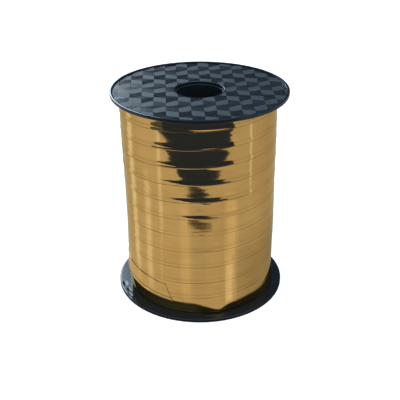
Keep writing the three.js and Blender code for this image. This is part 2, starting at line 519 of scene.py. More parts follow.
def winding_tree():
    """Geometry Nodes: a grid bent into one course of ribbon."""
    tree, given, output = new_tree("wind_course", WIND_INPUTS)
    grid = add(tree, "GeometryNodeMeshGrid", 1.0, 1.0, given["Steps"], given["Steps Across"])
    flat = add(tree, "ShaderNodeSeparateXYZ", add(tree, "GeometryNodeInputPosition").outputs[0])
    along = calc(tree, "ADD", flat.outputs["X"], 0.5)
    across = calc(tree, "POWER", calc(tree, "ADD", flat.outputs["Y"], 0.5), EDGE_FIRST)

    turned = calc(tree, "MULTIPLY", along, given["Turns"])
    angle = calc(tree, "MULTIPLY_ADD", turned, FULL_TURN, given["Start Angle"])
    raw_foot = calc(tree, "MULTIPLY_ADD", turned, given["Rise per Turn"], given["Foot"])
    raw_top = calc(tree, "ADD", raw_foot, given["Ribbon Width"])
    low = calc(tree, "MAXIMUM", raw_foot, given["Lowest"])
    high = calc(tree, "MINIMUM", raw_top, given["Highest"])
    height = calc(tree, "MULTIPLY_ADD", across, calc(tree, "SUBTRACT", high, low), low)
    from_edge = calc(tree, "SUBTRACT", height, raw_foot)

    east = calc(tree, "COSINE", angle)
    north = calc(tree, "SINE", angle)
    level = calc(tree, "MULTIPLY", height, FINER_UP)
    place = add(tree, "ShaderNodeCombineXYZ", east, north, level).outputs[0]
    creases = noise(tree, place, CREASE_SCALE, given["Seed"])

    standing = wavy(tree, given, turned, across, place)
    standing = lapped(tree, standing, from_edge, given["Lap Lift"])
    standing = over_ridges(tree, standing, height, angle, given["Rise per Turn"])
    standing = looser_higher_up(tree, standing, height)
    standing = tucked_foot(tree, standing, height, angle, given["Lowest"])
    standing = crumpled(tree, standing, height, angle, given["Highest"], creases)
    standing = calc(tree, "ADD", standing, ramp(tree, height, *BULGE_BAND, 0.0, BULGE))

    reach = calc(tree, "ADD", given["Radius"], standing)
    off_level = calc(tree, "SUBTRACT", height, SKEW_LEVEL)
    skew = calc(tree, "MULTIPLY", off_level, ramp(tree, height, *SKEW_BAND, 0.0, -PACK_SKEW))
    x = calc(tree, "MULTIPLY_ADD", reach, east, skew)
    y = calc(tree, "MULTIPLY", reach, north)
    spot = add(tree, "ShaderNodeCombineXYZ", x, y, height)

    # painted shade along each turn's edge and step, stored from the flat grid
    edge_shade = add(tree, "GeometryNodeStoreNamedAttribute", grid.outputs["Mesh"], data_type="FLOAT")
    plug(tree, "edge_wear", edge_shade.inputs["Name"])
    plug(tree, shaded_edges(tree, from_edge, place), edge_shade.inputs["Value"])
    wound = add(tree, "GeometryNodeSetPosition", edge_shade.outputs[0])
    plug(tree, spot.outputs[0], wound.inputs["Position"])
    real = add(tree, "GeometryNodeRealizeInstances", wound.outputs[0])
    painted = add(tree, "GeometryNodeSetMaterial", real.outputs[0])
    plug(tree, given["Material"], painted.inputs["Material"])
    plug(tree, painted.outputs[0], output.inputs[0])
    return tree


wind_tree = winding_tree()
print("winding tree:", len(wind_tree.nodes), "nodes")

# %% [markdown]
# ## The two courses that matter
#
# The outer course climbs from the lower flange to the upper one. The course under it was wound
# the other way, so it is the same tree with the rise below zero. Solidify then gives the film
# its thickness. Real film is 0.1 mm thick, too thin to see, but an edge needs some thickness to
# catch the light.

# %% Wind the courses
RIBBON_WIDTH = 10 * MM
TURN_RISE = 9.7 * MM
FILM_THICKNESS = 0.09 * MM
SLIVER = 0.5 * MM
TURNAROUND = from_front(CREASE)
CLIMBS, DROPS = 1, -1


def film(sheet_piece):
    """Gives a sheet of film its thickness, towards the axis."""
    shell = sheet_piece.modifiers.new("film", "SOLIDIFY")
    shell.thickness = FILM_THICKNESS
    shell.offset = -1.0
    shell.use_even_offset = True
    return settle(sheet_piece)


def course(name, radius, direction, steps_per_turn, across, lap, wrinkles, seed):
    """One course of film, which climbs or drops as it goes anticlockwise."""
    lowest_foot = course_low.z - RIBBON_WIDTH + SLIVER
    climb = course_high.z - SLIVER - lowest_foot
    turns = climb / TURN_RISE
    start = TURNAROUND if direction == CLIMBS else TURNAROUND - turns * FULL_TURN
    values = {
        "Radius": radius,
        "Start Angle": start,
        "Turns": turns,
        "Rise per Turn": direction * TURN_RISE,
        "Ribbon Width": RIBBON_WIDTH,
        "Foot": lowest_foot if direction == CLIMBS else lowest_foot + climb,
        "Lowest": course_low.z,
        "Highest": course_high.z,
        "Lap Lift": lap,
        "Wrinkles": wrinkles,
        "Seed": seed,
        "Steps": round(turns * steps_per_turn),
        "Steps Across": across,
        "Material": foil,
    }
    return film(grown(name, wind_tree, values))


OUTER_RADIUS = WINDING_RADIUS + 0.22 * MM
outer_course = course("gold_outer_course", OUTER_RADIUS, CLIMBS, 190, 16, 0.12 * MM, 0.10 * MM, 7.0)
under_course = course("gold_under_course", UNDER_RADIUS, DROPS, 90, 6, 0.1 * MM, 0.04 * MM, 11.0)
for piece, node in ((outer_course, "ribbon_outer_course"), (under_course, "ribbon_under_course")):
    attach(piece, "reel")
    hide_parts(node)
    print(piece.name, len(piece.data.polygons), "faces")

# %% [markdown]
# ## The loose end
#
# The last stretch lies on the winding with its lower edge standing away from it, and a slanting
# cut where it was snipped. A curve with a flat bevel could make it, but the flared edge differs
# across the strip. It is a short strip, so a loop over a grid of points is enough. It lies just
# outside the widest part of the winding, because it has to pass all round it when it is unwound.

# %% Make the loose end
END_ANGLE_START = from_front(-110)
END_ANGLE_TIP = from_front(-24)
END_STEPS = 110
END_ACROSS = 12
LIP_FIRST = 1.3
TIP_SLANT = math.radians(6)
LIP_WIDTH = 1.5 * MM
LIP_CREASE = 0.4 * MM
LIP_FLARE = 0.35 * MM
END_WIDTH = 9.6 * MM
END_GAP = 0.03 * MM


def widest(piece, low, high):
    """The largest distance from the axis of a piece's corners between two heights."""
    corners = [v.co for v in piece.data.vertices if low < v.co.z < high]
    return max(math.hypot(co.x, co.y) for co in corners)


PASSED_BELOW = end_low.z - 0.3 * MM
PASSED_ABOVE = end_high.z + 1.0 * MM
END_RADIUS = widest(outer_course, PASSED_BELOW, PASSED_ABOVE) + END_GAP + FILM_THICKNESS
print(f"the loose end lies at {1000 * END_RADIUS:.2f} mm")


def free_end():
    """A strip that lies round the winding, with a flared lower edge and a slanting tip."""
    shape = bmesh.new()
    crease_shade_layer = shape.verts.layers.float.new("edge_wear")
    rows = []
    drop = (end_high.z - end_low.z) - END_WIDTH
    for i in range(END_STEPS + 1):
        along = i / END_STEPS
        foot = end_low.z + drop * (1 - along)
        row = []
        for j in range(END_ACROSS + 1):
            up = j / END_ACROSS
            height = foot + END_WIDTH * up ** LIP_FIRST
            tip = END_ANGLE_TIP + TIP_SLANT * (0.5 - up)
            angle = END_ANGLE_START + (tip - END_ANGLE_START) * along
            lip = max(0.0, 1 - (height - foot) / LIP_WIDTH)
            radius = END_RADIUS + LIP_FLARE * lip * lip * min(1.0, 6 * along)
            vertex = shape.verts.new((radius * math.cos(angle), radius * math.sin(angle), height))
            # painted shade along the crease of the flared lip
            vertex[crease_shade_layer] = max(0.0, 1 - abs(height - foot - LIP_WIDTH) / LIP_CREASE)
            row.append(vertex)
        rows.append(row)
    for this, after in zip(rows, rows[1:]):
        for j in range(END_ACROSS):
            shape.faces.new((this[j], after[j], after[j + 1], this[j + 1]))
    mesh = bpy.data.meshes.new("gold_free_end")
    shape.to_mesh(mesh)
    shape.free()
    mesh.materials.append(foil)
    return film(placed("gold_free_end", mesh))


loose_end = free_end()
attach(loose_end, "loose_ribbon")
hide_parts("ribbon_free_end")
print("loose end:", len(loose_end.data.polygons), "faces")

# %% [markdown]
# ## Black moulded plastic
#
# One material serves the smooth parts of the flanges and one the embossed face. Both are black
# with a cold tint in the gloss. The smooth side came off a polished mould, so it is nearly a
# mirror with a slight orange-peel. The embossed side has the fine grain of a spark-eroded mould,
# and its facets differ in polish: an attribute on each facet says how rough it is.

# %% Plastic materials
BLACK = (0.008, 0.010, 0.0125, 1.0)
LIGHTER = 1.35
TEXTURED_GREY = (0.017, 0.023, 0.029, 1.0)
GLOSS_TINT = (0.82, 0.93, 1.0, 1.0)
FACE_ROUGHNESS = (0.17, 0.50)


def moulded_plastic(name, rough_low, rough_high, grain_scale, grain_depth):
    """Black plastic with mottled gloss and a fine grain."""
    material, tree, shader = new_material(name)
    cloud = noise(tree, stretched(tree, 90, 90), 1.0, 2.0)
    colour = add(tree, "ShaderNodeMix", data_type="RGBA")
    plug(tree, ramp(tree, cloud, -0.6, 0.6), colour.inputs["Factor"])
    plug(tree, BLACK, colour.inputs["A"])
    plug(tree, tuple(LIGHTER * c for c in BLACK[:3]) + (1.0,), colour.inputs["B"])
    plug(tree, colour.outputs["Result"], shader["Base Color"])
    plug(tree, ramp(tree, cloud, -0.6, 0.6, rough_low, rough_high), shader["Roughness"])
    shader["IOR"].default_value = 1.42
    shader["Specular Tint"].default_value = GLOSS_TINT
    grain = noise(tree, stretched(tree, grain_scale, grain_scale), 1.0, 4.0, detail=3.0)
    plug(tree, bump(tree, grain, 0.5, grain_depth), shader["Normal"])
    return material, tree, shader


smooth_plastic = moulded_plastic("black_gloss_plastic", 0.07, 0.13, 260, 0.02 * MM)[0]
tube_plastic = moulded_plastic("black_satin_plastic", 0.38, 0.5, 900, 0.03 * MM)[0]


def embossed_plastic():
    """The grained plastic of the flange's face, whose facets differ in polish."""
    material, tree, shader = moulded_plastic("black_embossed_plastic", 0.3, 0.4, 1500, 0.03 * MM)
    texture = add(tree, "ShaderNodeAttribute", attribute_name="facet_texture").outputs["Fac"]
    plug(tree, ramp(tree, texture, 0.0, 1.0, *FACE_ROUGHNESS, smooth=False), shader["Roughness"])
    colour = add(tree, "ShaderNodeMix", data_type="RGBA")
    plug(tree, texture, colour.inputs["Factor"])
    plug(tree, BLACK, colour.inputs["A"])
    plug(tree, TEXTURED_GREY, colour.inputs["B"])
    plug(tree, colour.outputs["Result"], shader["Base Color"])
    return material


face_plastic = embossed_plastic()
print("plastics:", smooth_plastic.name, tube_plastic.name, face_plastic.name)

# %% [markdown]
# ## The embossed face
#
# The pattern is a tumbling-block one. Straight columns run from front to back, and each is cut
# into slanting tiles that alternate between two tilts, with flat lens shapes where the slant
# changes. Each tile is a small slab of its own with a tilted top, as a mould maker would cut it,
# so light picks the tiles out from every side. One cell of twelve slabs repeats over the face:
# Geometry Nodes puts a copy of the cell on each point of a grid.

# %% Make one cell of the pattern
COLUMN = 6.25 * MM
SLANT = 2.3 * MM
TILE = 6.07 * MM
CELL_LENGTH = 4 * TILE + 2 * SLANT
TILE_GAP = 0.03 * MM
SLAB_DEPTH = 0.45 * MM
PATTERN_TURN = math.radians(2.6)
PATTERN_CORNER = (-6.9 * MM, 31.7 * MM)

# tilt to the right and to the front in degrees, and how textured
TONES = {
    "light": (-1.6, 2.6, 1.0),
    "medium": (0.4, 0.3, 0.28),
    "dark": (1.5, -1.8, 0.02),
    "pit": (0.8, -0.8, 0.10),
    "lens": (0.5, -0.4, 0.22),
}


def cell_facets():
    """The twelve facets of a cell: tone, then corners as (across, down) from a pit's centre."""
    w, s, t = COLUMN, SLANT, TILE
    left = [
        ("pit", (0, 0), (w, -s), (w, s)),
        ("medium", (0, 0), (w, s), (w, s + t), (0, t)),
        ("light", (0, t), (w, s + t), (w, s + 2 * t), (0, 2 * t)),
        ("lens", (0, 2 * t), (w, s + 2 * t), (0, 2 * t + 2 * s)),
        ("dark", (0, 2 * t + 2 * s), (w, 2 * t + s), (w, 3 * t + s), (0, 3 * t + 2 * s)),
        ("light", (0, 3 * t + 2 * s), (w, 3 * t + s), (w, 4 * t + s), (0, 4 * t + 2 * s)),
    ]
    right = [
        ("pit", (w, -s), (w, s), (2 * w, 0)),
        ("light", (w, s), (2 * w, 0), (2 * w, t), (w, s + t)),
        ("dark", (w, s + t), (2 * w, t), (2 * w, 2 * t), (w, s + 2 * t)),
        ("lens", (w, s + 2 * t), (2 * w, 2 * t), (2 * w, 2 * t + 2 * s)),
        ("light", (w, 2 * t + s), (2 * w, 2 * t + 2 * s), (2 * w, 3 * t + 2 * s), (w, 3 * t + s)),
        ("medium", (w, 3 * t + s), (2 * w, 3 * t + 2 * s), (2 * w, 4 * t + 2 * s), (w, 4 * t + s)),
    ]
    return left + right


def add_slab(shape, texture_layer, tone, corners):
    """Adds one facet to a bmesh as a closed slab with a tilted top."""
    tilt_right, tilt_front, textured = TONES[tone]
    flat = [Vector((across, -down, 0.0)) for across, down in corners]
    middle = sum(flat, Vector()) / len(flat)
    slope_x = math.tan(math.radians(tilt_right))
    slope_y = -math.tan(math.radians(tilt_front))
    tops, feet = [], []
    for corner in flat:
        inward = (middle - corner).normalized() * TILE_GAP
        spot = corner + inward
        offset = spot - middle
        top = -slope_x * offset.x - slope_y * offset.y
        tops.append(shape.verts.new((spot.x, spot.y, top)))
        feet.append(shape.verts.new((spot.x, spot.y, -SLAB_DEPTH)))
    faces = [shape.faces.new(tops), shape.faces.new(feet[::-1])]
    for i, top in enumerate(tops):
        after = (i + 1) % len(tops)
        faces.append(shape.faces.new((top, feet[i], feet[after], tops[after])))
    for face in faces:
        face[texture_layer] = textured


def pattern_cell():
    """One cell as a mesh object, to be copied by the tree."""
    shape = bmesh.new()
    texture_layer = shape.faces.layers.float.new("facet_texture")
    for tone, *corners in cell_facets():
        add_slab(shape, texture_layer, tone, corners)
    bmesh.ops.recalc_face_normals(shape, faces=shape.faces)
    mesh = bpy.data.meshes.new("pattern_cell")
    shape.to_mesh(mesh)
    shape.free()
    mesh.materials.append(face_plastic)
    return placed("pattern_cell", mesh)


cell = pattern_cell()
print("pattern cell:", len(cell.data.polygons), "faces")

# %% [markdown]
# ## Repeating the cell
#
# An Array modifier could repeat the cell too, once each way. Instances on the points of a grid
# do both ways in one tree, and the turn and the corner stay inputs that can be tried out.

# %% Tree that repeats the cell
PATTERN_INPUTS = (
    ("Cell", "Object"),
    ("Cell Width", "Float"),
    ("Cell Length", "Float"),
    ("Cells Across", "Int"),
    ("Cells Along", "Int"),
    ("Turn", "Float"),
    ("Corner", "Vector"),
    ("Material", "Material"),
)


def pattern_tree():
    """Geometry Nodes: copies of the cell on a grid, turned a little and moved to the corner."""
    tree, given, output = new_tree("repeat_cell", PATTERN_INPUTS)
    across = calc(tree, "MULTIPLY", given["Cell Width"], calc(tree, "SUBTRACT", given["Cells Across"], 1.0))
    along = calc(tree, "MULTIPLY", given["Cell Length"], calc(tree, "SUBTRACT", given["Cells Along"], 1.0))
    grid = add(tree, "GeometryNodeMeshGrid", across, along, given["Cells Across"], given["Cells Along"])
    source = add(tree, "GeometryNodeObjectInfo", given["Cell"])
    copies = add(tree, "GeometryNodeInstanceOnPoints", grid.outputs["Mesh"])
    plug(tree, source.outputs["Geometry"], copies.inputs["Instance"])
    turn = add(tree, "ShaderNodeCombineXYZ", 0.0, 0.0, given["Turn"]).outputs[0]
    moved = add(tree, "GeometryNodeTransform", copies.outputs[0])
    plug(tree, given["Corner"], moved.inputs["Translation"])
    plug(tree, turn, moved.inputs["Rotation"])
    real = add(tree, "GeometryNodeRealizeInstances", moved.outputs[0])
    painted = add(tree, "GeometryNodeSetMaterial", real.outputs[0])
    plug(tree, given["Material"], painted.inputs["Material"])
    plug(tree, painted.outputs[0], output.inputs[0])
    return tree


repeat_tree = pattern_tree()
print("repeat tree:", len(repeat_tree.nodes), "nodes")

# %% [markdown]
# ## The flanges
#
# A flange is a turned shape: a disc with a raised rim, a polished inside face and a collar that
# the tube is pressed into. Its profile is spun round the axis with many steps, because a shiny
# rim shows every facet. The pattern is trimmed to a ring with one boolean and joined to the disc
# with another. The two flanges come from the same mould, so the upper one is the lower one
# turned over.

# %% Turned shapes
TURNED_STEPS = 240


def turned(name, outline, material):
    """Spins a closed outline of (radius, height) pairs round the axis."""
    shape = bmesh.new()
    rings = []
    for step in range(TURNED_STEPS):
        angle = FULL_TURN * step / TURNED_STEPS
        east, north = math.cos(angle), math.sin(angle)
        rings.append([shape.verts.new((r * east, r * north, z)) for r, z in outline])
    for this, after in zip(rings, rings[1:] + rings[:1]):
        for i in range(len(outline)):
            j = (i + 1) % len(outline)
            shape.faces.new((this[i], after[i], after[j], this[j]))
    bmesh.ops.recalc_face_normals(shape, faces=shape.faces)
    mesh = bpy.data.meshes.new(name)
    shape.to_mesh(mesh)
    shape.free()
    mesh.materials.append(material)
    return placed(name, mesh)


def rounded(corner, before, after, radius, steps=4):
    """The points of a small round in place of a corner of an outline."""
    corner, before, after = Vector(corner), Vector(before), Vector(after)
    start = corner + (before - corner).normalized() * radius
    end = corner + (after - corner).normalized() * radius
    points = []
    for i in range(steps + 1):
        t = i / steps
        points.append(tuple(start.lerp(corner, t).lerp(corner.lerp(end, t), t)))
    return points


def softened(outline, radii_mm):
    """An outline with each corner rounded by its own radius, in mm."""
    points = []
    for i, (corner, radius) in enumerate(zip(outline, radii_mm)):
        if radius:
            before, after = outline[i - 1], outline[(i + 1) % len(outline)]
            points += rounded(corner, before, after, radius * MM)
        else:
            points.append(corner)
    return points


# %% Make the flanges
RIM_HEIGHT = 1.8 * MM
RIM_WIDTH = 1.4 * MM
RIM_CROWN = 0.08 * MM
CROWN_WIDTH = 0.5 * MM
FACE_RECESS = 0.7 * MM
SOCKET_RADIUS = TUBE_RADIUS + 0.3 * MM
COLLAR_RADIUS = SOCKET_RADIUS + 1.5 * MM
PATTERN_BED = 0.2 * MM
MOUTH_LAND = 0.8 * MM
RING_GAP_INSIDE = 0.05 * MM
RING_GAP_OUTSIDE = 0.06 * MM

# nicks in the lower flange: degrees to the right of the front, distance from the axis and
# spread in mm
DENTS = ((-75.6, 45.2, 0.9), (-66.6, 44.4, 0.7), (-60.4, 46.0, 0.9), (-53.0, 46.3, 0.8))
DENT_DEPTH = 0.22 * MM
SAME_LEVEL = 0.05 * MM

# rings of points on the inside face, close enough together for the nicks
DENT_ZONE = 43 * MM
DENT_RING_STEP = 0.4 * MM
DENT_RINGS = 10


def boolean(piece, other, operation):
    """Applies one boolean between two closed meshes and removes the other."""
    cut = piece.modifiers.new("cut", "BOOLEAN")
    cut.operation = operation
    cut.solver = "MANIFOLD"
    cut.object = other
    settle(piece)
    bpy.data.objects.remove(other)
    return piece


def pattern_ring():
    """The pattern, cut to the ring between the rim and the mouth, face up at height 0."""
    values = {
        "Cell": cell,
        "Cell Width": 2 * COLUMN,
        "Cell Length": CELL_LENGTH,
        "Cells Across": 11,
        "Cells Along": 7,
        "Turn": PATTERN_TURN,
        "Corner": (*PATTERN_CORNER, 0.0),
        "Material": face_plastic,
    }
    pattern = grown("pattern", repeat_tree, values)
    inner = MOUTH_RADIUS + MOUTH_LAND + RING_GAP_INSIDE
    outer = FLANGE_RADIUS - RIM_WIDTH - RING_GAP_OUTSIDE
    ring = [(inner, -MM), (outer, -MM), (outer, MM), (inner, MM)]
    return boolean(pattern, turned("trim_ring", ring, face_plastic), "INTERSECT")


def flange_body():
    """The disc with its rim and collar, patterned side up at the height of the rim."""
    edge, land = FLANGE_RADIUS, FLANGE_RADIUS - RIM_WIDTH
    inside = -RIM_HEIGHT
    bed = -FACE_RECESS - PATTERN_BED
    collar = -COLLAR_TOP
    outline = [
        (edge, inside),
        (edge, -RIM_CROWN),
        (edge - CROWN_WIDTH, 0.0),
        (land + CROWN_WIDTH, 0.0),
        (land, -RIM_CROWN),
        (land, bed),
        (MOUTH_RADIUS + MOUTH_LAND, bed),
        (MOUTH_RADIUS + MOUTH_LAND, -FACE_RECESS),
        (MOUTH_RADIUS, -FACE_RECESS),
        (MOUTH_RADIUS, inside),
        (SOCKET_RADIUS, inside),
        (SOCKET_RADIUS, collar),
        (COLLAR_RADIUS, collar),
        (COLLAR_RADIUS, inside),
    ]
    rounds_mm = [0.25, 0.1, 0.2, 0.2, 0.1, 0, 0, 0, 0.5, 0.15, 0, 0.2, 0.2, 0.4]
    rings = [(DENT_ZONE + DENT_RING_STEP * k, inside) for k in range(DENT_RINGS)]
    return turned("flange_body", softened(outline, rounds_mm) + rings, smooth_plastic)


def dent(mesh, height):
    """Presses a few shallow nicks into the inside face, near the rim."""
    for vertex in mesh.vertices:
        if abs(vertex.co.z - height) > SAME_LEVEL:
            continue
        for degrees, radius, spread in DENTS:
            angle = from_front(degrees)
            centre = Vector((radius * MM * math.cos(angle), radius * MM * math.sin(angle)))
            away = (vertex.co.xy - centre).length / (spread * MM)
            vertex.co.z -= DENT_DEPTH * math.exp(-away * away)


flange_mesh = flange_body()
ring_piece = pattern_ring()
ring_piece.data.transform(Matrix.Translation((0, 0, -FACE_RECESS)))
flange_mesh = boolean(flange_mesh, ring_piece, "UNION")
bpy.data.objects.remove(cell)
flange_mesh.data.materials.clear()
flange_mesh.data.materials.append(smooth_plastic)
flange_mesh.data.materials.append(face_plastic)
facets = flange_mesh.data.attributes["facet_texture"].data
for polygon, facet in zip(flange_mesh.data.polygons, facets):
    polygon.material_index = 1 if facet.value > 0 else 0
print("flange:", len(flange_mesh.data.polygons), "faces")

# %% [markdown]
# ## Two flanges from one mould
#
# The lower flange is a copy, turned over by half a turn about X. Its mesh is turned and not the
# object, so every object stays at the origin. Only the lower one has a few nicks, where it was
# knocked.

# %% Place both flanges
upper = flange_mesh
upper.name = upper.data.name = "upper_flange_moulding"
lower = placed("lower_flange_moulding", upper.data.copy())
upper.data.transform(Matrix.Translation((0, 0, REEL_HEIGHT)))
lower.data.transform(Matrix.Rotation(math.pi, 4, "X"))
dent(lower.data, RIM_HEIGHT)
for piece, node in ((upper, "upper_flange"), (lower, "lower_flange")):
    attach(piece, "reel")
    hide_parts(node)

# %% [markdown]
# ## The tube and what is hidden
#
# The tube shows only inside the mouths of the flanges. The ribbon's inner wraps and the tape
# that holds its first turn don't show at all, so new meshes would be wasted on them. Their CAD
# solids stay as they are and only get a finish: fine rings of dull gold, and cloudy tape.

# %% Tube, inner wraps and tape
tube_outline = [
    (BORE_RADIUS, tube_low.z),
    (TUBE_RADIUS, tube_low.z),
    (TUBE_RADIUS, tube_high.z),
    (BORE_RADIUS, tube_high.z),
]
tube = turned("core_tube_moulding", softened(tube_outline, [0.3, 0.2, 0.2, 0.3]), tube_plastic)
settle(tube)
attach(tube, "reel")
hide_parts("core_tube")


DULL_EDGE = (0.2, 0.12, 0.04, 1.0)
TAPE_CLOUDY = (0.72, 0.66, 0.48, 1.0)
TAPE_CLEAR = (0.84, 0.80, 0.68, 1.0)


def edge_wound(name):
    """Tightly wound film seen on its edges: fine rings of dull gold."""
    material, tree, shader = new_material(name)
    rings = noise(tree, stretched(tree, 700, 90), 1.0, 6.0)
    colour = add(tree, "ShaderNodeMix", data_type="RGBA")
    plug(tree, ramp(tree, rings, -0.4, 0.4), colour.inputs["Factor"])
    plug(tree, GOLD_DEEP, colour.inputs["A"])
    plug(tree, DULL_EDGE, colour.inputs["B"])
    plug(tree, colour.outputs["Result"], shader["Base Color"])
    shader["Metallic"].default_value = 0.8
    plug(tree, ramp(tree, rings, -0.5, 0.5, 0.35, 0.55), shader["Roughness"])
    plug(tree, bump(tree, rings, 0.4, 0.05 * MM), shader["Normal"])
    return material


def clear_tape(name):
    """Cloudy adhesive tape with a few trapped bubbles."""
    material, tree, shader = new_material(name)
    bubbles = noise(tree, stretched(tree, 500, 500), 1.0, 8.0)
    colour = add(tree, "ShaderNodeMix", data_type="RGBA")
    plug(tree, ramp(tree, bubbles, -0.2, 0.5), colour.inputs["Factor"])
    plug(tree, TAPE_CLOUDY, colour.inputs["A"])
    plug(tree, TAPE_CLEAR, colour.inputs["B"])
    plug(tree, colour.outputs["Result"], shader["Base Color"])
    plug(tree, ramp(tree, bubbles, -0.4, 0.4, 0.25, 0.45), shader["Roughness"])
    plug(tree, bump(tree, bubbles, 0.3, 0.03 * MM), shader["Normal"])
    return material


def repaint(node, material):
    """Gives a CAD node its finish."""
    nodes[node].data.materials.clear()
    nodes[node].data.materials.append(material)


repaint("ribbon_inner_wraps", edge_wound("edge_wound_film"))
repaint("start_tape", clear_tape("clear_tape"))
print("tube:", len(tube.data.polygons), "faces")

# %% [markdown]
# ## The camera
#
# A 69 mm lens, 46 cm from the reel, looking down at it by 27 degrees. A longer lens would flatten
# the upper flange and a shorter one would make it loom over the lower one. The place and the
# turn are given as one matrix, which is exact, where a Track To constraint would be one more
# thing to follow.

# %% Camera
CAMERA_PLACE = Vector((0.0, -0.3861, 0.2493))
CAMERA_DOWN = math.radians(27.25)
CAMERA_ROLL = math.radians(-0.21)

LENS_LENGTH = 68.87

lens = bpy.data.cameras.new("camera")
lens.lens = LENS_LENGTH
lens.sensor_width = 36.0
lens.clip_start = 0.01
camera = bpy.data.objects.new("camera", lens)
camera.matrix_world = (
    Matrix.Translation(CAMERA_PLACE)
    @ Matrix.Rotation(math.pi / 2 - CAMERA_DOWN, 4, "X")
    @ Matrix.Rotation(CAMERA_ROLL, 4, "Z")
)
bpy.context.scene.collection.objects.link(camera)
bpy.context.scene.camera = camera
bpy.context.scene.view_settings.view_transform = "Standard"
print(f"camera {100 * CAMERA_PLACE.length:.0f} cm from the reel's foot")

# %% [markdown]
# ## The table
#
# Mirror-like film shows the room more than itself. The reel stands on a white table. Seen from
# above, the upright film mirrors the table in front of it, near the reel for its lower part and
# further off for its upper part. So the light is set with cards that lie on the table. Only
# reflections meet them, as if they stood just out of view. Lamps round the reel could do the
# same, but each would take many trials to place. A card is placed where the camera sees it in
# the film: `mirror_spot` follows the ray from the camera to a point of the winding and down to
# the table.

# %% Where the film mirrors the table
def winding_point(degrees, level):
    """A point of the winding, its angle in degrees to the right of the front and level in mm."""
    side = from_front(degrees)
    return Vector((WINDING_RADIUS * math.cos(side), WINDING_RADIUS * math.sin(side), level * MM))


def mirror_spot(degrees, level):
    """The spot on the table that the camera sees mirrored in a point of the winding."""
    point = winding_point(degrees, level)
    outward = Vector((point.x, point.y, 0)).normalized()
    sight = point - CAMERA_PLACE
    mirrored = sight - 2 * sight.dot(outward) * outward
    spot = point - mirrored * (point.z / mirrored.z)
    return spot.x, spot.y


print("mirrored at mid height:", [round(1000 * c) for c in mirror_spot(0, 60)], "mm")

# %% Cards and the table
def glow(name, colour, strength):
    """A plain glowing material."""
    material = bpy.data.materials.new(name)
    material.use_nodes = True
    tree = material.node_tree
    tree.nodes.clear()
    lit = add(tree, "ShaderNodeEmission", colour + (1.0,), strength)
    output = add(tree, "ShaderNodeOutputMaterial")
    tree.links.new(lit.outputs[0], output.inputs["Surface"])
    return material, tree, lit


def flat_card(name, corners, height, material):
    """A flat card that lies at a height, in metres."""
    mesh = bpy.data.meshes.new(name)
    mesh.from_pydata([(x, y, height) for x, y in corners], [], [tuple(range(len(corners)))])
    mesh.materials.append(material)
    card = placed(name, mesh)
    return card


def only_mirrored(card):
    """Hides a card from everything but reflections."""
    card.visible_camera = False
    card.visible_diffuse = False
    card.visible_shadow = False
    card.visible_transmission = False


def disc(radius, steps=96):
    """Corners of a round card."""
    turns = [FULL_TURN * i / steps for i in range(steps)]
    return [(radius * math.cos(a), radius * math.sin(a)) for a in turns]


def table_white():
    """White laminate, lit evenly from below like a light table, with a faint mottle."""
    material, tree, shader = new_material("table_white")
    mottle = noise(tree, stretched(tree, 3, 3), 1.0, 1.0)
    plug(tree, ramp(tree, mottle, -0.6, 0.6, 0.90, 0.93), shader["Emission Strength"])
    shader["Emission Color"].default_value = (1.0, 1.0, 1.0, 1.0)
    shader["Base Color"].default_value = (0.35, 0.35, 0.35, 1.0)
    shader["Roughness"].default_value = 0.8
    shader["Specular IOR Level"].default_value = 0.0
    return material


TABLE_REACH = 6.0
flat_card("table", disc(TABLE_REACH), 0.0, table_white())

print("table:", 2 * TABLE_REACH, "m across")

# %% [markdown]
# ## The table in the film
#
# Film that mirrored the white table as it is would look too bright and too even. A disc that
# only reflections meet gives the film a darker table. It is a little brighter on the left, and
# dark close to the reel, where the reel stands in the way of the light.

# %% Grey of the table in the film
MIRRORED_GREY = 0.61
GREY_REACH = 3.2
GREY_HEIGHT = 0.2 * MM
DARKER_RIGHT = 0.05
GREY_BEHIND = 0.80
NEAR_SHADE = 0.18
NEAR_REACH = (0.055, 0.14)
CONTACT_SHADE = 0.12
CONTACT_START = FLANGE_RADIUS + 1.5 * MM
CONTACT_END = FLANGE_RADIUS + 3.5 * MM


def mirrored_table():
    """The table as the film shows it: brighter on the left, darker on the right and behind."""
    material, tree, lit = glow("mirrored_grey", (1.0, 1.0, 1.0), 1.0)
    place = add(tree, "ShaderNodeTexCoord").outputs["Object"]
    parts = add(tree, "ShaderNodeSeparateXYZ", place)
    length = add(tree, "ShaderNodeVectorMath", place, operation="LENGTH").outputs["Value"]
    right = calc(tree, "DIVIDE", parts.outputs["X"], length)
    back = calc(tree, "DIVIDE", parts.outputs["Y"], length)
    level = calc(tree, "MULTIPLY_ADD", right, -DARKER_RIGHT, MIRRORED_GREY)
    level = calc(tree, "MULTIPLY", level, ramp(tree, back, -0.35, 0.6, 1.0, GREY_BEHIND))
    near = ramp(tree, length, *NEAR_REACH, 1.0, 0.0)
    near_right = calc(tree, "MULTIPLY", near, ramp(tree, right, 0.3, 0.95))
    level = calc(tree, "MULTIPLY_ADD", near_right, -NEAR_SHADE, level)
    shade = ramp(tree, length, CONTACT_START, CONTACT_END, CONTACT_SHADE, 1.0)
    level = calc(tree, "MULTIPLY", level, shade)
    plug(tree, level, lit.inputs["Strength"])
    only_mirrored(flat_card("mirrored_table", disc(GREY_REACH), GREY_HEIGHT, material))


mirrored_table()
print("the film mirrors a table of grey", MIRRORED_GREY)
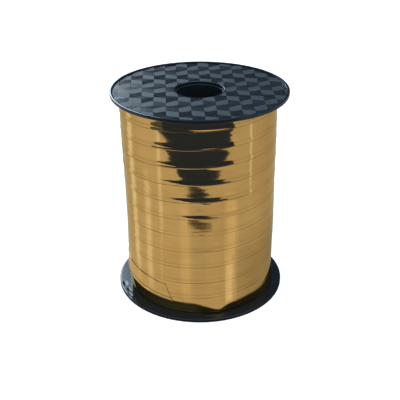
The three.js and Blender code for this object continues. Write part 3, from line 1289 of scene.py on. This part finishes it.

# %% [markdown]
# ## Painted reflections: the dark room and the strips of light
#
# The dark patch in the upper half of the film is a painted reflection of the dark room past the
# table's front edge: a dim card, with a dim corner and a dark spot beside it. The upright streaks
# are painted reflections too: glowing strips, not lamps, each laid along the whole length of its
# streak. All are cards that only reflections meet, given by the places in the film where they
# should show.

# %% Dark room and strips
# corners of the dark cards: degrees to the right of the front, and level in mm
ROOM_EDGE = (
    (-31, 112), (-26, 104), (-23, 98), (-17.5, 89), (-14, 79), (-6, 69), (0, 67), (9, 77), (16, 87),
    (19, 95), (23.5, 108), (25, 180), (0, 190), (-20, 190), (-32, 180),
)
SPOT_EDGE = ((-5, 55.9), (5, 55.9), (9, 56.9), (9, 57.8), (5, 58.8), (-5, 58.8), (-9, 57.8), (-9, 56.9))
ROOM_TINT = (0.20, 0.34, 0.90)
DIM_CORNER = ((-33, 115), (-30, 108), (-26, 103), (-24, 120), (-24, 160), (-34, 150))

ROOM_GLOW = 0.13
SPOT_GLOW = 0.01
DIM_TINT = (0.6, 0.8, 1.0)
DIM_GLOW = 0.14
WHITE = (1.0, 1.0, 1.0)
STREAK_TINT = (0.98, 1.06, 1.30)
TINTED_ABOVE = 0.8

# painted reflections: glowing strips, not lamps, each laid along the whole streak it makes in the film
# from and to: angle and level in the film; half width in degrees; brightness
STRIPS = {
    "strip_far_left": ((-57.5, 128), (-54, 12), 3.0, 0.92),
    "strip_left_low": ((-40.5, 82), (-40.5, 10), 2.6, 0.88),
    "strip_left": ((-28.3, 118), (-29.2, 48), 1.5, 0.86),
    "strip_left_foot": ((-29.5, 54), (-30, 14), 1.0, 0.72),
    "strip_front": ((-10.5, 72), (-10.5, 5), 3.4, 0.74),
    "strip_centre": ((0.5, 72), (0.5, 5), 5.0, 0.565),
    "strip_right_low": ((23.5, 74), (23, 4), 4.2, 0.78),
    "strip_right_foot": ((22.3, 36), (22.3, 4), 2.6, 0.96),
    "strip_right": ((38.4, 128), (38.8, 68), 0.8, 0.86),
}


def soft_strip(name, start, end, half, strength):
    """A glowing strip that only reflections meet, a painted streak of light that fades out at its sides and
    ends.
    """
    spots, fades = [], []
    for share, fade_along in ((0.0, 0.0), (0.15, 1.0), (0.85, 1.0), (1.0, 0.0)):
        degrees = start[0] + (end[0] - start[0]) * share
        level = start[1] + (end[1] - start[1]) * share
        for side, fade_across in ((-1.5, 0.0), (-0.5, 1.0), (0.5, 1.0), (1.5, 0.0)):
            x, y = mirror_spot(degrees + side * half, level)
            spots.append((x, y, 0.6 * MM))
            fades.append(fade_along * fade_across)
    tiles = [(4 * i + j, 4 * i + j + 1, 4 * i + j + 5, 4 * i + j + 4) for i in range(3) for j in range(3)]
    mesh = bpy.data.meshes.new(name)
    mesh.from_pydata(spots, [], tiles)
    mesh.attributes.new("fade", "FLOAT", "POINT").data.foreach_set("value", fades)
    material, tree, lit = glow(name, STREAK_TINT if strength > TINTED_ABOVE else WHITE, strength)
    fade = add(tree, "ShaderNodeAttribute", attribute_name="fade").outputs["Fac"]
    mixed = add(tree, "ShaderNodeMixShader", fade, add(tree, "ShaderNodeBsdfTransparent").outputs[0])
    tree.links.new(lit.outputs[0], mixed.inputs[2])
    tree.links.new(mixed.outputs[0], tree.nodes["Material Output"].inputs["Surface"])
    mesh.materials.append(material)
    card = placed(name, mesh)
    only_mirrored(card)


def mirrored_card(name, places, height, colour, strength):
    """A card whose corners show at the given places of the film."""
    corners = [mirror_spot(*place) for place in places]
    only_mirrored(flat_card(name, corners, height, glow(name, colour, strength)[0]))


# painted reflections: a dark room, a dim corner and a dark spot, seen only in the film
mirrored_card("dark_room", ROOM_EDGE, 1.0 * MM, ROOM_TINT, ROOM_GLOW)
mirrored_card("dim_corner", DIM_CORNER, 1.2 * MM, DIM_TINT, DIM_GLOW)
mirrored_card("dark_spot", SPOT_EDGE, 0.8 * MM, ROOM_TINT, SPOT_GLOW)
for name, (start, end, half, strength) in STRIPS.items():
    soft_strip(name, start, end, half, strength)
print("cards:", len(STRIPS), "strips of light and 3 dark cards")

# %% [markdown]
# ## Sky and lamps
#
# The black plastic mirrors what is behind the reel. A dome that is dark near the horizon and
# bright higher up makes the tilted facets differ: those that lean to the front catch the light.
# Two soft boxes behind on the left give the highlight on that side. A white curtain, which only
# the camera sees, keeps the background plain. The same light could come from one studio image
# of the sky, but a few nodes and two lamps can be changed one by one.

# %% Sky, lamps and curtain
HORIZON_LIGHT = 0.10
SIDE_LIGHT = 0.22
DOME_LIGHT = 2.6
DOME_RISE = (0.60, 0.92)
SIDE_FADE = (0.3, 0.85)
SKY_BLUE = (0.66, 0.84, 1.0, 1.0)


def sky():
    """A dome of light that is darker near the horizon."""
    world = bpy.data.worlds.new("studio")
    world.use_nodes = True
    tree = world.node_tree
    background = tree.nodes["Background"]
    way = add(tree, "ShaderNodeTexCoord").outputs["Generated"]
    parts = add(tree, "ShaderNodeSeparateXYZ", way).outputs
    dome = ramp(tree, parts["Z"], *DOME_RISE, HORIZON_LIGHT, DOME_LIGHT)
    sides = ramp(tree, parts["Y"], *SIDE_FADE, SIDE_LIGHT, 0.0)
    plug(tree, calc(tree, "ADD", dome, sides), background.inputs["Strength"])
    background.inputs["Color"].default_value = SKY_BLUE
    bpy.context.scene.world = world


BACK_TINT = (0.72, 0.86, 1.0)
BOX_DISTANCE = 1.2

# degrees to the right of the front, degrees up; width and height in metres; power in watts
SOFT_BOXES = {
    "behind_left_near": (-168.6, 22, 0.13, 0.6, 0.6),
    "behind_left_wide": (-157, 24, 0.50, 0.7, 6.5),
}


def soft_box(name, azimuth, elevation, width, height, power):
    """An area lamp that faces the reel."""
    lamp = bpy.data.lights.new(name, "AREA")
    lamp.shape = "RECTANGLE"
    lamp.size = width
    lamp.size_y = height
    lamp.energy = power
    lamp.color = BACK_TINT
    box = bpy.data.objects.new(name, lamp)
    level = math.radians(elevation)
    side = from_front(azimuth)
    way = Vector((math.cos(side) * math.cos(level), math.sin(side) * math.cos(level), math.sin(level)))
    box.location = way * BOX_DISTANCE + Vector((0, 0, REEL_HEIGHT))
    box.rotation_euler = way.to_track_quat("Z", "Y").to_euler()
    bpy.context.scene.collection.objects.link(box)
    box.visible_camera = False


def curtain():
    """A white dome round the table that only the camera sees."""
    shape = bmesh.new()
    bmesh.ops.create_uvsphere(shape, u_segments=48, v_segments=24, radius=0.98 * TABLE_REACH)
    bmesh.ops.reverse_faces(shape, faces=shape.faces)
    mesh = bpy.data.meshes.new("curtain")
    shape.to_mesh(mesh)
    shape.free()
    mesh.materials.append(glow("curtain_white", WHITE, 1.0)[0])
    dome = placed("curtain", mesh)
    dome.visible_glossy = False
    dome.visible_diffuse = False
    dome.visible_shadow = False
    dome.visible_transmission = False


sky()
curtain()
for name, settings in SOFT_BOXES.items():
    soft_box(name, *settings)
print("soft boxes:", ", ".join(SOFT_BOXES))
